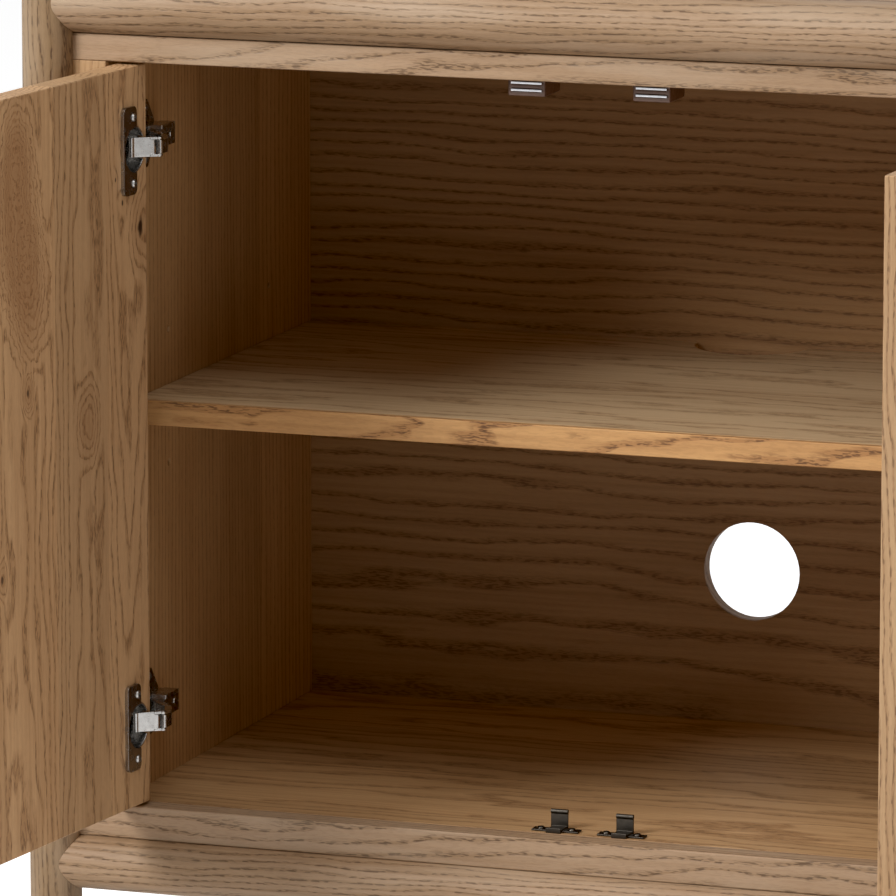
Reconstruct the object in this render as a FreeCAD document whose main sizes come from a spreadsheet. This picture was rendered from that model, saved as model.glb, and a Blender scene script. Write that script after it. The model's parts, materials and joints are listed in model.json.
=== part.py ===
import FreeCAD, Part
import os

from FreeCAD import Placement, Rotation, Vector

# Media cabinet: round corner posts, bullnose rails, two inset doors on cup hinges, one shelf.
# Millimetres.  X = 0 is the middle of the width, Y runs from the front to the back and
# Z = 0 is the floor.  The doors are drawn open, as they stand at rest.

doc = FreeCAD.newDocument("media_cabinet")

# ---------------------------------------------------------------- driving dimensions

SIZES = {
    # carcass
    "inner_width": 717.0,
    "inner_height": 548.0,
    "inner_depth": 421.0,
    "face_plane": -49.0,
    "side_thick": 28.5,
    "deck_thick": 19.5,
    "back_thick": 15.0,
    "back_rebate": 9.0,
    "cable_radius": 38.0,
    "cable_height": 118.0,
    # posts and feet
    "post_radius": 19.0,
    "post_seat": 3.0,
    "post_dome": 6.0,
    "post_dome_rise": 3.6,
    "leg_height": 135.0,
    "glide_radius": 13.0,
    "glide_thick": 5.0,
    "glide_stem_radius": 4.0,
    "glide_stem_length": 16.0,
    # rails
    "flat_rail_depth": 20.0,
    "lower_flat_height": 24.5,
    "rail_proud": 17.0,
    "rail_depth": 42.0,
    "top_rail_height": 45.5,
    "low_rail_height": 40.0,
    "top_thick": 20.0,
    "top_groove": 1.5,
    "bearer_width": 45.0,
    "rail_dowel_radius": 4.0,
    "rail_dowel_length": 36.0,
    "rail_dowel_stagger": 9.0,
    "rail_dowel_inset": 4.0,
    "side_dowel_inset": 6.0,
    "deck_dowel_radius": 4.0,
    "deck_dowel_length": 30.0,
    # shelf
    "shelf_thick": 18.0,
    "shelf_height": 293.5,
    "shelf_setback": 44.0,
    "shelf_gap": 0.5,
    "shelf_nosing": 6.0,
    "notch_radius": 44.0,
    "wire_radius": 1.5,
    "wire_clearance": 0.2,
    "wire_centre": 3.5,
    "peg_radius": 2.45,
    "peg_length": 9.0,
    "peg_hole_radius": 2.5,
    "peg_hole_depth": 10.0,
    "peg_front": 119.0,
    "peg_rear": 329.0,
    "peg_pitch": 50.0,
    # doors
    "door_thick": 19.0,
    "door_setback": 0.5,
    "door_side_gap": 2.0,
    "door_centre_gap": 3.0,
    "door_top_gap": 2.0,
    "door_foot_gap": 2.5,
    "left_door_open": 96.3,
    "right_door_open": 88.0,
    "knob_inset": 32.0,
    "knob_screw_radius": 2.0,
    "knob_screw_reach": 12.0,
    "knob_head_radius": 4.5,
    "knob_head_flat": 3.4,
    "knob_head_thick": 1.8,
    # cup hinges
    "axis_inset": 11.0,
    "axis_setback": 5.9,
    "hinge_end_inset": 60.0,
    "cup_edge": 21.3,
    "cup_radius": 17.5,
    "cup_wall": 1.2,
    "cup_depth": 13.0,
    "cup_lip": 0.8,
    "cup_relief": 3.5,
    "cup_relief_width": 11.3,
    "link_play": 1.0,
    "flange_edge": 24.3,
    "flange_near": 4.8,
    "flange_width": 20.0,
    "flange_length": 64.0,
    "flange_thick": 2.8,
    "cup_screw_spread": 24.0,
    "arm_pivot_in": 24.2,
    "arm_pivot_back": 8.0,
    "link_length": 20.7,
    "link_ratio": 0.38,
    "link_width": 14.5,
    "link_sheet": 2.0,
    "link_arm_gap": 3.6,
    "link_skin": 0.8,
    "link_window_in": 4.5,
    "link_window_length": 9.0,
    "link_window_width": 7.2,
    "inner_link_width": 6.0,
    "knuckle_radius": 1.8,
    "link_ear_radius": 2.5,
    "cheek_length": 7.0,
    "cheek_front": 1.6,
    "cheek_depth": 3.4,
    "arm_width": 10.0,
    "arm_seat": 28.2,
    "arm_low": 16.5,
    "arm_end": 74.0,
    "saddle_start": 48.0,
    "saddle_width": 16.0,
    "arm_pin_radius": 1.5,
    "pin_clearance": 0.05,
    "adjuster_radius": 3.0,
    "adjuster_length": 6.0,
    "adjuster_proud": 0.6,
    "adjuster_back": 66.0,
    "plate_front": 55.0,
    "plate_length": 35.0,
    "plate_width": 14.0,
    "wing_thick": 2.0,
    "wing_spread": 25.0,
    "wing_back": 71.0,
    "wing_width": 36.0,
    "wing_tip": 10.0,
    "wing_taper": 17.0,
    "wing_screw_inset": 6.0,
    # catches and stops
    "catch_spread": 46.5,
    "catch_width": 28.0,
    "catch_height": 14.0,
    "catch_depth": 34.0,
    "catch_gap": 0.3,
    "catch_ear": 8.0,
    "catch_ear_thick": 2.5,
    "catch_ear_start": 5.0,
    "catch_ear_depth": 14.0,
    "pole_proud": 0.8,
    "pole_thick": 1.6,
    "pole_spacing": 5.2,
    "pole_inset": 2.5,
    "pole_length": 24.0,
    "magnet_inset": 4.0,
    "magnet_back": 3.0,
    "magnet_length": 18.0,
    "strike_thick": 1.0,
    "strike_radius": 9.5,
    "strike_stud_radius": 2.0,
    "strike_stud_length": 6.0,
    "stop_spread": 24.8,
    "stop_width": 35.5,
    "stop_gap": 0.7,
    "stop_sheet": 1.4,
    "stop_length": 16.0,
    "stop_height": 13.0,
    "stop_strap": 11.5,
    "stop_strap_thick": 2.24,
    "stop_lip": 3.8,
    "stop_wing_start": 3.5,
    "stop_wing_depth": 9.0,
    "stop_tab_side": 0.8,
    "stop_roll_radius": 1.7,
    # small screws
    "screw_radius": 1.5,
    "screw_length": 11.0,
    "screw_head_radius": 3.2,
    "screw_head_flat": 2.24,
    "screw_head_thick": 1.4,
    "back_screw_radius": 2.0,
    "back_screw_length": 34.0,
    "back_screw_inset": 4.5,
    "back_screw_head_radius": 4.0,
    "back_screw_head_depth": 3.0,
}

sheet = doc.addObject("Spreadsheet::Sheet", "params")
for row, (size_name, size_value) in enumerate(SIZES.items(), start=1):
    sheet.set("A%d" % row, size_name)
    sheet.set("B%d" % row, str(size_value))
    sheet.setAlias("B%d" % row, size_name)
doc.recompute()


def P(size_name):
    return "params." + size_name


# ---------------------------------------------------------------- worked-out places

HALF = "(%s / 2)" % P("inner_width")
FACE = P("face_plane")
DEPTH = P("inner_depth")
FLOOR = "(%s + %s + %s)" % (P("leg_height"), P("low_rail_height"), P("lower_flat_height"))
CEILING = "(%s + %s)" % (FLOOR, P("inner_height"))
DECK_TOP = "(%s + %s)" % (CEILING, P("deck_thick"))
TOP = "(%s + %s)" % (DECK_TOP, P("top_rail_height"))
LOW_RAIL_TOP = "(%s - %s)" % (FLOOR, P("lower_flat_height"))
REAR_FACE = "(%s + %s + %s)" % (FACE, DEPTH, P("back_thick"))
BACK_FRONT = "(%s + %s)" % (FACE, DEPTH)
SIDE_OUT = "(%s + %s)" % (HALF, P("side_thick"))
POST_X = "(%s - %s + %s)" % (SIDE_OUT, P("post_seat"), P("post_radius"))
REAR_POST_Y = "(%s - %s)" % (REAR_FACE, P("post_radius"))
RAIL_BACK = "(%s - %s + %s)" % (FACE, P("rail_proud"), P("rail_depth"))
RAIL_IN = "(%s + %s - %s)" % (POST_X, P("rail_proud"), P("rail_depth"))
REAR_RAIL_FRONT = "(%s - %s)" % (REAR_FACE, P("rail_depth"))
SEAT_RUN = "(%s - %s)" % (P("post_radius"), P("post_seat"))

WAYS = {
    "+z": Rotation(),
    "-z": Rotation(Vector(1, 0, 0), 180),
    "+x": Rotation(Vector(0, 1, 0), 90),
    "-x": Rotation(Vector(0, 1, 0), -90),
    "+y": Rotation(Vector(1, 0, 0), -90),
    "-y": Rotation(Vector(1, 0, 0), 90),
}

finished = []


def bind(item, **formulas):
    for prop, formula in formulas.items():
        item.setExpression(prop, formula)
    return item


def place(item, at):
    for letter, formula in zip("xyz", at):
        item.setExpression("Placement.Base." + letter, formula)
    return item


def block(name, start, size):
    item = doc.addObject("Part::Box", name)
    bind(item, Length=size[0], Width=size[1], Height=size[2])
    return place(item, start)


def rod(name, radius, length, at, way, roll=0):
    item = doc.addObject("Part::Cylinder", name)
    item.Placement = Placement(Vector(), WAYS[way] * Rotation(Vector(0, 0, 1), roll))
    bind(item, Radius=radius, Height=length)
    return place(item, at)


def half_rod(name, radius, length, at, way, roll):
    """A half-round stave: the roll about its own axis sets which half is kept."""
    item = doc.addObject("Part::Cylinder", name)
    item.Angle = 180
    item.Placement = Placement(Vector(), WAYS[way] * Rotation(Vector(0, 0, 1), roll))
    bind(item, Radius=radius, Height=length)
    return place(item, at)


def taper(name, radii, length, at, way, roll=0):
    item = doc.addObject("Part::Cone", name)
    item.Placement = Placement(Vector(), WAYS[way] * Rotation(Vector(0, 0, 1), roll))
    bind(item, Radius1=radii[0], Radius2=radii[1], Height=length)
    return place(item, at)


def join(name, pieces):
    item = doc.addObject("Part::MultiFuse", name)
    item.Shapes = pieces
    item.Refine = True
    return item


def group(name, pieces):
    item = doc.addObject("Part::Compound", name)
    item.Links = pieces
    return item


def cut(name, base, tools):
    tool = tools[0] if len(tools) == 1 else group(name + "_cuts", tools)
    item = doc.addObject("Part::Cut", name)
    item.Base = base
    item.Tool = tool
    return item


def mirrored(name, source):
    item = doc.addObject("Part::Mirroring", name)
    item.Source = source
    item.Normal = Vector(1, 0, 0)
    return item


def finish(item, label):
    item.Label = label
    finished.append(item)
    return item


def outline_pad(name, points, length, plane="XY_Plane"):
    """A closed outline of straight runs, padded to both sides of the plane it is drawn on."""
    body = doc.addObject("PartDesign::Body", name)
    sketch = body.newObject("Sketcher::SketchObject", name + "_outline")
    base = [f for f in body.Origin.OriginFeatures if f.Role == plane][0]
    sketch.AttachmentSupport = [(base, "")]
    sketch.MapMode = "FlatFace"
    corners = [Vector(x, y, 0) for x, y in points]
    for begin, end in zip(corners, corners[1:] + corners[:1]):
        sketch.addGeometry(Part.LineSegment(begin, end))
    pad = body.newObject("PartDesign::Pad", name + "_pad")
    pad.Profile = sketch
    pad.Midplane = True
    pad.setExpression("Length", length)
    return body


def turned(name, points):
    """A body turned about its own Z axis from a half outline of (radius, height) points."""
    body = doc.addObject("PartDesign::Body", name)
    sketch = body.newObject("Sketcher::SketchObject", name + "_half")
    base = [f for f in body.Origin.OriginFeatures if f.Role == "XZ_Plane"][0]
    sketch.AttachmentSupport = [(base, "")]
    sketch.MapMode = "FlatFace"
    corners = [Vector(r, z, 0) for r, z in points]
    for begin, end in zip(corners, corners[1:] + corners[:1]):
        sketch.addGeometry(Part.LineSegment(begin, end))
    turn = body.newObject("PartDesign::Revolution", name + "_turn")
    turn.Profile = sketch
    turn.ReferenceAxis = (sketch, ["V_Axis"])
    turn.Angle = 360.0
    return body


def small_screw(name, at, way):
    """A pan-head screw: its shank runs from the point the way it is driven, its head stands back."""
    back = {"+": "-", "-": "+"}[way[0]] + way[1]
    shank = rod(name + "_shank", P("screw_radius"), P("screw_length"), at, way)
    head = taper(name + "_head", (P("screw_head_radius"), P("screw_head_flat")),
                 P("screw_head_thick"), at, back)
    return join(name, [shank, head])


# ---------------------------------------------------------------- dowels and back screws

def rail_dowels():
    """Two dowels to each rail: one into each post that the rail's coped end meets."""
    half_length = P("rail_dowel_length") + " / 2"
    levels = {
        "top": "(%s + %s / 2)" % (DECK_TOP, P("top_rail_height")),
        "low": "(%s - %s / 2)" % (LOW_RAIL_TOP, P("low_rail_height")),
    }
    pins = []
    for level, middle in levels.items():
        front_z = "%s + %s" % (middle, P("rail_dowel_stagger"))
        side_z = "%s - %s" % (middle, P("rail_dowel_stagger"))
        inner = "%s - %s" % (POST_X, P("post_radius"))
        for sign, word, way in ((-1, "left", "+x"), (1, "right", "-x")):
            start_x = "%d * (%s + %s)" % (sign, inner, half_length)
            rows = (("front", "%s + %s" % (FACE, P("rail_dowel_inset"))),
                    ("rear", "%s - %s" % (REAR_POST_Y, P("rail_dowel_inset"))))
            for row_word, y in rows:
                pins.append(rod("rail_dowel_%s_%s_%s" % (level, word, row_word),
                                P("rail_dowel_radius"), P("rail_dowel_length"),
                                (start_x, y, front_z), way))
            side_x = "%d * (%s + %s)" % (sign, POST_X, P("side_dowel_inset"))
            front_y = "%s + %s - %s" % (FACE, P("post_radius"), half_length)
            rear_y = "%s - %s + %s" % (REAR_POST_Y, P("post_radius"), half_length)
            pins.append(rod("side_dowel_%s_%s_front" % (level, word), P("rail_dowel_radius"),
                            P("rail_dowel_length"), (side_x, front_y, side_z), "+y"))
            pins.append(rod("side_dowel_%s_%s_rear" % (level, word), P("rail_dowel_radius"),
                            P("rail_dowel_length"), (side_x, rear_y, side_z), "-y"))
    return pins


def deck_dowels():
    """Three dowels at each end of the ceiling and of the bottom, into the side panels."""
    pins = []
    levels = {
        "ceiling": "(%s + %s / 2)" % (CEILING, P("deck_thick")),
        "bottom": "(%s - %s / 2)" % (FLOOR, P("deck_thick")),
    }
    for level, middle in levels.items():
        for sign, word, way in ((-1, "left", "+x"), (1, "right", "-x")):
            start_x = "%d * (%s + %s / 2)" % (sign, HALF, P("deck_dowel_length"))
            for number, share in enumerate((0.18, 0.5, 0.82), start=1):
                y = "%s + %s * %s" % (FACE, DEPTH, share)
                pins.append(rod("deck_dowel_%s_%s_%d" % (level, word, number),
                                P("deck_dowel_radius"), P("deck_dowel_length"),
                                (start_x, y, middle), way))
    return pins


def back_screws():
    """Countersunk screws through the back panel: up each side and along both decks."""
    places = []
    for sign in (-1, 1):
        x = "%d * (%s + %s)" % (sign, HALF, P("back_screw_inset"))
        for share in (0.1, 0.37, 0.63, 0.9):
            places.append((x, "%s + %s * %s" % (FLOOR, P("inner_height"), share)))
    for share in (-0.3, 0, 0.3):
        x = "%s * %s" % (P("inner_width"), share)
        places.append((x, "%s + %s / 2" % (CEILING, P("deck_thick"))))
        places.append((x, "%s - %s / 2" % (FLOOR, P("deck_thick"))))
    screws = []
    for number, (x, z) in enumerate(places, start=1):
        name = "back_screw_%d" % number
        shank = rod(name + "_shank", P("back_screw_radius"), P("back_screw_length"),
                    (x, REAR_FACE, z), "-y")
        head = taper(name + "_head", (P("back_screw_head_radius"), P("back_screw_radius")),
                     P("back_screw_head_depth"), (x, REAR_FACE, z), "-y")
        screws.append(join(name, [shank, head]))
    return screws


rail_pins = finish(group("rail_dowels", rail_dowels()), "rail_dowels")
deck_pins = finish(group("deck_dowels", deck_dowels()), "deck_dowels")
panel_screws = finish(group("back_screws", back_screws()), "back_screws")

# ---------------------------------------------------------------- hinge stations

HINGE_LEVELS = {
    "lower": "(%s + %s + %s)" % (FLOOR, P("door_foot_gap"), P("hinge_end_inset")),
    "upper": "(%s - %s - %s)" % (CEILING, P("door_top_gap"), P("hinge_end_inset")),
}
AXIS_X = "(%s - %s)" % (HALF, P("axis_inset"))
AXIS_Y = "(%s + %s)" % (FACE, P("axis_setback"))
PIVOT_X = "(%s - %s)" % (AXIS_X, P("arm_pivot_in"))
PIVOT_Y = "(%s + %s)" % (AXIS_Y, P("arm_pivot_back"))


def hardware_screws():
    """The pan-head screws of the mounting plates, the catches and the stop clips."""
    screws = []
    for sign, word, way in ((-1, "left", "-x"), (1, "right", "+x")):
        wing_x = "%d * (%s - %s)" % (sign, HALF, P("wing_thick"))
        for level, z in HINGE_LEVELS.items():
            for turn, end in ((-1, "low"), (1, "high")):
                at = (wing_x, "%s + %s" % (FACE, P("wing_back")),
                      "%s + %d * (%s - %s)" % (z, turn, P("wing_spread"), P("wing_screw_inset")))
                screws.append(small_screw("plate_screw_%s_%s_%s" % (word, level, end), at, way))
        for turn, end in ((-1, "left"), (1, "right")):
            ear_x = "%d * %s + %d * (%s + %s) / 2" % (
                sign, P("catch_spread"), turn, P("catch_width"), P("catch_ear"))
            at = (ear_x, "%s + %s + %s / 2" % (CATCH_Y, P("catch_ear_start"), P("catch_ear_depth")),
                  "%s - %s" % (CEILING, P("catch_ear_thick")))
            screws.append(small_screw("catch_screw_%s_%s" % (word, end), at, "+z"))
            clip_x = "%d * %s + %d * (%s + %s) / 4" % (
                sign, P("stop_spread"), turn, P("stop_width"), P("stop_strap"))
            at = (clip_x, "%s + %s + %s / 2" % (STOP_Y, P("stop_wing_start"), P("stop_wing_depth")),
                  "%s + %s" % (FLOOR, P("stop_sheet")))
            screws.append(small_screw("clip_screw_%s_%s" % (word, end), at, "-z"))
    return screws


DOOR_BACK = "(%s + %s + %s)" % (FACE, P("door_setback"), P("door_thick"))
CATCH_Y = "(%s + %s + %s + %s)" % (DOOR_BACK, P("strike_thick"), P("catch_gap"), P("pole_proud"))
STOP_Y = "(%s + %s)" % (DOOR_BACK, P("stop_gap"))

fixing_screws = finish(group("hardware_screws", hardware_screws()), "hardware_screws")

# ---------------------------------------------------------------- posts and feet

def post(sign, word, y, rear):
    """A round post with a domed top, and flats where the side panel and its rails seat."""
    name = "%s_%s_post" % (word, "rear" if rear else "front")
    radius = P("post_radius")
    x = "%d * %s" % (sign, POST_X)
    roll = 180 if sign < 0 else 0
    trunk = rod(name + "_trunk", radius, "%s - %s" % (TOP, P("glide_thick")),
                (x, y, P("glide_thick")), "+z", roll)
    dome = taper(name + "_dome", (radius, "%s - %s" % (radius, P("post_dome"))),
                 P("post_dome_rise"), (x, y, TOP), "+z", roll)
    stem_hole = rod(name + "_stem_hole", P("glide_stem_radius"), P("glide_stem_length"),
                    (x, y, P("glide_thick")), "+z")
    seat_height = "%s - %s" % (DECK_TOP, LOW_RAIL_TOP)
    if rear:
        side_y = "%s - 2 * %s" % (y, radius)
        rail_y = "%s - 2 * %s" % (y, radius)
    else:
        side_y = y
        rail_y = "%s + %s" % (y, SEAT_RUN)
    side_x = "-" + SIDE_OUT if sign < 0 else "%s - %s" % (SIDE_OUT, radius)
    rail_x = "-" + POST_X if sign < 0 else "%s - 2 * %s" % (POST_X, radius)
    side_seat = block(name + "_side_seat", (side_x, side_y, LOW_RAIL_TOP),
                      (radius, radius + (" * 4" if rear else " * 2"), seat_height))
    rail_seat = block(name + "_rail_seat", (rail_x, rail_y, LOW_RAIL_TOP),
                      (radius + " * 2", "2 * %s - %s" % (radius, SEAT_RUN), seat_height))
    seats = join(name + "_seats", [side_seat, rail_seat])
    round_post = join(name + "_round", [trunk, dome])
    return finish(cut(name, round_post, [seats, stem_hole, rail_pins]), name)


for sign, word in ((-1, "left"), (1, "right")):
    post(sign, word, FACE, False)
    post(sign, word, REAR_POST_Y, True)


def glides():
    feet = []
    for sign, word in ((-1, "left"), (1, "right")):
        for row_word, y in (("front", FACE), ("rear", REAR_POST_Y)):
            x = "%d * %s" % (sign, POST_X)
            name = "glide_%s_%s" % (word, row_word)
            disc = rod(name + "_disc", P("glide_radius"), P("glide_thick"), (x, y, "0"), "+z")
            stem = rod(name + "_stem", P("glide_stem_radius"), P("glide_stem_length"),
                       (x, y, P("glide_thick")), "+z")
            feet.append(join(name, [disc, stem]))
    return feet


finish(group("leg_glides", glides()), "leg_glides")

# ---------------------------------------------------------------- rails

def post_cutters(name):
    """Full-length cylinders of the posts' size, which cope the rails' ends."""
    cutters = []
    for sign, word in ((-1, "left"), (1, "right")):
        for row_word, y in (("front", FACE), ("rear", REAR_POST_Y)):
            cutters.append(rod("%s_%s_%s" % (name, word, row_word), P("post_radius"),
                               TOP + " + " + P("post_radius"),
                               ("%d * %s" % (sign, POST_X), y, "0"), "+z"))
    return group(name, cutters)


coping = post_cutters("coping")


def nosed_rail(name, start, length, height, way):
    """A rail with a half-round outer edge: along X at the front, along Y at the left side."""
    radius = "(%s / 2)" % height
    x, y, z = start
    inner = "%s - %s" % (P("rail_depth"), radius)
    if way == "x":
        nose = half_rod(name + "_nose", radius, length,
                        (x, "%s + %s" % (y, radius), "%s + %s" % (z, radius)), "+x", 180)
        core = block(name + "_core", (x, "%s + %s" % (y, radius), z), (length, inner, height))
    else:
        nose = half_rod(name + "_nose", radius, length,
                        ("%s + %s" % (x, radius), y, "%s + %s" % (z, radius)), "+y", 90)
        core = block(name + "_core", ("%s + %s" % (x, radius), y, z), (inner, length, height))
    return join(name + "_blank", [nose, core])


def rail_ring(level, z, height):
    """The four rails of one level: nosed front and sides, and a plain rear rail."""
    span = "2 * " + POST_X
    front_blank = nosed_rail("front_%s_rail" % level,
                             ("-" + POST_X, "%s - %s" % (FACE, P("rail_proud")), z),
                             span, height, "x")
    rear_blank = block("rear_%s_rail_blank" % level, ("-" + POST_X, REAR_RAIL_FRONT, z),
                       (span, P("rail_depth"), height))
    side_start = "(%s - %s + %s / 2)" % (FACE, P("rail_proud"), height)
    side_blank = nosed_rail("left_%s_rail" % level,
                            ("-%s - %s" % (POST_X, P("rail_proud")), side_start, z),
                            "%s - %s" % (REAR_POST_Y, side_start), height, "y")
    front = cut("front_%s_rail" % level, front_blank, [coping, rail_pins])
    rear = cut("rear_%s_rail" % level, rear_blank, [coping, rail_pins])
    side_open = cut("left_%s_rail_butted" % level, side_blank, [front_blank])
    side_both = cut("left_%s_rail_fitted" % level, side_open, [rear_blank])
    side = cut("left_%s_rail" % level, side_both, [coping, rail_pins])
    finish(front, "front_%s_rail" % level)
    finish(rear, "rear_%s_rail" % level)
    finish(side, "left_%s_rail" % level)
    finish(mirrored("right_%s_rail" % level, side), "right_%s_rail" % level)


rail_ring("top", DECK_TOP, P("top_rail_height"))
rail_ring("bottom", "%s - %s" % (LOW_RAIL_TOP, P("low_rail_height")), P("low_rail_height"))


def flat_rails(level, z, height):
    """Flush flat rails between the posts: one along the front, one along each side."""
    front = block("front_%s_flat" % level, ("-" + SIDE_OUT, FACE, z),
                  ("2 * " + SIDE_OUT, P("flat_rail_depth"), height))
    side = block("left_%s_flat" % level, ("-" + POST_X, "%s + %s" % (FACE, SEAT_RUN), z),
                 ("%s - %s" % (POST_X, SIDE_OUT),
                  "%s - %s - 2 * %s" % (REAR_POST_Y, FACE, SEAT_RUN), height))
    finish(front, "front_%s_flat" % level)
    finish(side, "left_%s_flat" % level)
    finish(mirrored("right_%s_flat" % level, side), "right_%s_flat" % level)


flat_rails("top", CEILING, P("deck_thick"))
flat_rails("bottom", LOW_RAIL_TOP, P("lower_flat_height"))

# ---------------------------------------------------------------- panels

def side_panel():
    """A side panel with a rebate for the back, notches for the flat rails and shelf holes."""
    name = "left_side_panel"
    full_height = "%s - %s" % (DECK_TOP, LOW_RAIL_TOP)
    board = block(name + "_board", ("-" + SIDE_OUT, FACE, LOW_RAIL_TOP),
                  (P("side_thick"), "%s - %s" % (REAR_FACE, FACE), full_height))
    rebate = block(name + "_rebate", ("-%s - %s" % (HALF, P("back_rebate")), BACK_FRONT,
                                      LOW_RAIL_TOP),
                   (P("back_rebate"), P("back_thick"), full_height))
    upper_notch = block(name + "_upper_notch", ("-" + SIDE_OUT, FACE, CEILING),
                        (P("side_thick"), P("flat_rail_depth"), P("deck_thick")))
    lower_notch = block(name + "_lower_notch", ("-" + SIDE_OUT, FACE, LOW_RAIL_TOP),
                        (P("side_thick"), P("flat_rail_depth"), P("lower_flat_height")))
    peg_holes = []
    for row_word, back in (("front", P("peg_front")), ("rear", P("peg_rear"))):
        for number, steps in enumerate((-1, 0, 1), start=1):
            z = "%s + %d * %s" % (SHELF_MIDDLE, steps, P("peg_pitch"))
            peg_holes.append(rod("peg_hole_%s_%d" % (row_word, number), P("peg_hole_radius"),
                                 P("peg_hole_depth"), ("-" + HALF, "%s + %s" % (FACE, back), z),
                                 "-x"))
    return cut(name, board, [rebate, upper_notch, lower_notch, group("peg_holes", peg_holes),
                             deck_pins, panel_screws, fixing_screws])


SHELF_MIDDLE = "(%s + %s - %s / 2)" % (FLOOR, P("shelf_height"), P("shelf_thick"))

left_side = finish(side_panel(), "left_side_panel")
finish(mirrored("right_side_panel", left_side), "right_side_panel")


def deck(name, z):
    board = block(name + "_board", ("-" + HALF, "%s + %s" % (FACE, P("flat_rail_depth")), z),
                  (P("inner_width"), "%s - %s" % (DEPTH, P("flat_rail_depth")), P("deck_thick")))
    return cut(name, board, [deck_pins, panel_screws, fixing_screws])


finish(deck("ceiling_panel", CEILING), "ceiling_panel")
finish(deck("bottom_panel", "%s - %s" % (FLOOR, P("deck_thick"))), "bottom_panel")

back_board = block("back_board", ("-%s - %s" % (HALF, P("back_rebate")), BACK_FRONT, LOW_RAIL_TOP),
                   ("%s + 2 * %s" % (P("inner_width"), P("back_rebate")), P("back_thick"),
                    "%s - %s" % (DECK_TOP, LOW_RAIL_TOP)))
cable_hole = rod("cable_hole", P("cable_radius"), P("back_thick"),
                 ("0", BACK_FRONT, "%s + %s" % (FLOOR, P("cable_height"))), "+y")
finish(cut("back_panel", back_board, [cable_hole, panel_screws]), "back_panel")

top_board = block("top_board", ("-" + RAIL_IN, RAIL_BACK, "%s - %s" % (TOP, P("top_thick"))),
                  ("2 * " + RAIL_IN, "%s - %s" % (REAR_RAIL_FRONT, RAIL_BACK), P("top_thick")))
doc.recompute()
top_panel = doc.addObject("Part::Chamfer", "top_panel")
top_panel.Base = top_board
upper_edges = [number for number, edge in enumerate(top_board.Shape.Edges, start=1)
               if all(abs(v.Z - top_board.Shape.BoundBox.ZMax) < 0.01 for v in edge.Vertexes)]
top_panel.Edges = [(number, SIZES["top_groove"], SIZES["top_groove"]) for number in upper_edges]
finish(top_panel, "top_panel")

bearers = []
for number, share in enumerate((-0.42, 0, 0.42), start=1):
    bearers.append(block("top_bearer_%d" % number,
                         ("%s * %s - %s / 2" % (P("inner_width"), share, P("bearer_width")),
                          RAIL_BACK, DECK_TOP),
                         (P("bearer_width"), "%s - %s" % (REAR_RAIL_FRONT, RAIL_BACK),
                          "%s - %s" % (P("top_rail_height"), P("top_thick")))))
finish(group("top_bearers", bearers), "top_bearers")

# ---------------------------------------------------------------- shelf and its wires

SHELF_FRONT = "(%s + %s)" % (FACE, P("shelf_setback"))
SHELF_HALF = "(%s - %s)" % (HALF, P("shelf_gap"))
SHELF_BOTTOM = "(%s - %s / 2)" % (SHELF_MIDDLE, P("shelf_thick"))
GROOVE_RADIUS = "(%s + %s)" % (P("wire_radius"), P("wire_clearance"))

shelf_board = block("shelf_board",
                    ("-" + SHELF_HALF, "%s + %s" % (SHELF_FRONT, P("shelf_nosing")), SHELF_BOTTOM),
                    ("2 * " + SHELF_HALF,
                     "%s - %s - %s - %s" % (BACK_FRONT, SHELF_FRONT, P("shelf_nosing"),
                                            P("shelf_gap")), P("shelf_thick")))
cable_notch = rod("cable_notch", P("notch_radius"), P("shelf_thick"),
                  ("0", BACK_FRONT, SHELF_BOTTOM), "+z")
kerfs = []
for sign, word in ((-1, "left"), (1, "right")):
    kerf_depth = "(%s + %s - %s)" % (P("wire_centre"), GROOVE_RADIUS, P("shelf_gap"))
    kerf_x = "-" + SHELF_HALF if sign < 0 else "%s - %s" % (SHELF_HALF, kerf_depth)
    kerfs.append(block("kerf_" + word,
                       (kerf_x, "%s + %s - 2 * %s" % (FACE, P("peg_front"), P("peg_radius")),
                        "%s - %s - %s" % (SHELF_MIDDLE, P("peg_hole_radius"), P("wire_clearance"))),
                       (kerf_depth, DEPTH,
                        "2 * (%s + %s)" % (P("peg_hole_radius"), P("wire_clearance")))))
finish(cut("shelf", shelf_board, [cable_notch] + kerfs), "shelf")
finish(block("shelf_nosing", ("-" + SHELF_HALF, SHELF_FRONT, SHELF_BOTTOM),
             ("2 * " + SHELF_HALF, P("shelf_nosing"), P("shelf_thick"))), "shelf_nosing")


def shelf_wires():
    """One wire at each side: a straight run in the shelf's kerf and a peg at each end."""
    wires = []
    for sign, word, way in ((-1, "left", "+x"), (1, "right", "-x")):
        run_x = "%d * (%s - %s)" % (sign, HALF, P("wire_centre"))
        peg_x = "%d * (%s + %s)" % (sign, HALF, P("peg_length"))
        run = rod("wire_%s_run" % word, P("wire_radius"),
                  "%s - %s" % (P("peg_rear"), P("peg_front")),
                  (run_x, "%s + %s" % (FACE, P("peg_front")), SHELF_MIDDLE), "+y")
        pieces = [run]
        for row_word, back in (("front", P("peg_front")), ("rear", P("peg_rear"))):
            pieces.append(rod("wire_%s_%s_peg" % (word, row_word), P("peg_radius"),
                              "%s + %s + %s" % (P("peg_length"), P("wire_centre"),
                                                P("wire_radius")),
                              (peg_x, "%s + %s" % (FACE, back), SHELF_MIDDLE), way))
        wires.append(join("shelf_wire_" + word, pieces))
    return wires


finish(group("shelf_wires", shelf_wires()), "shelf_wires")

# ---------------------------------------------------------------- catches and stop clips

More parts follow.
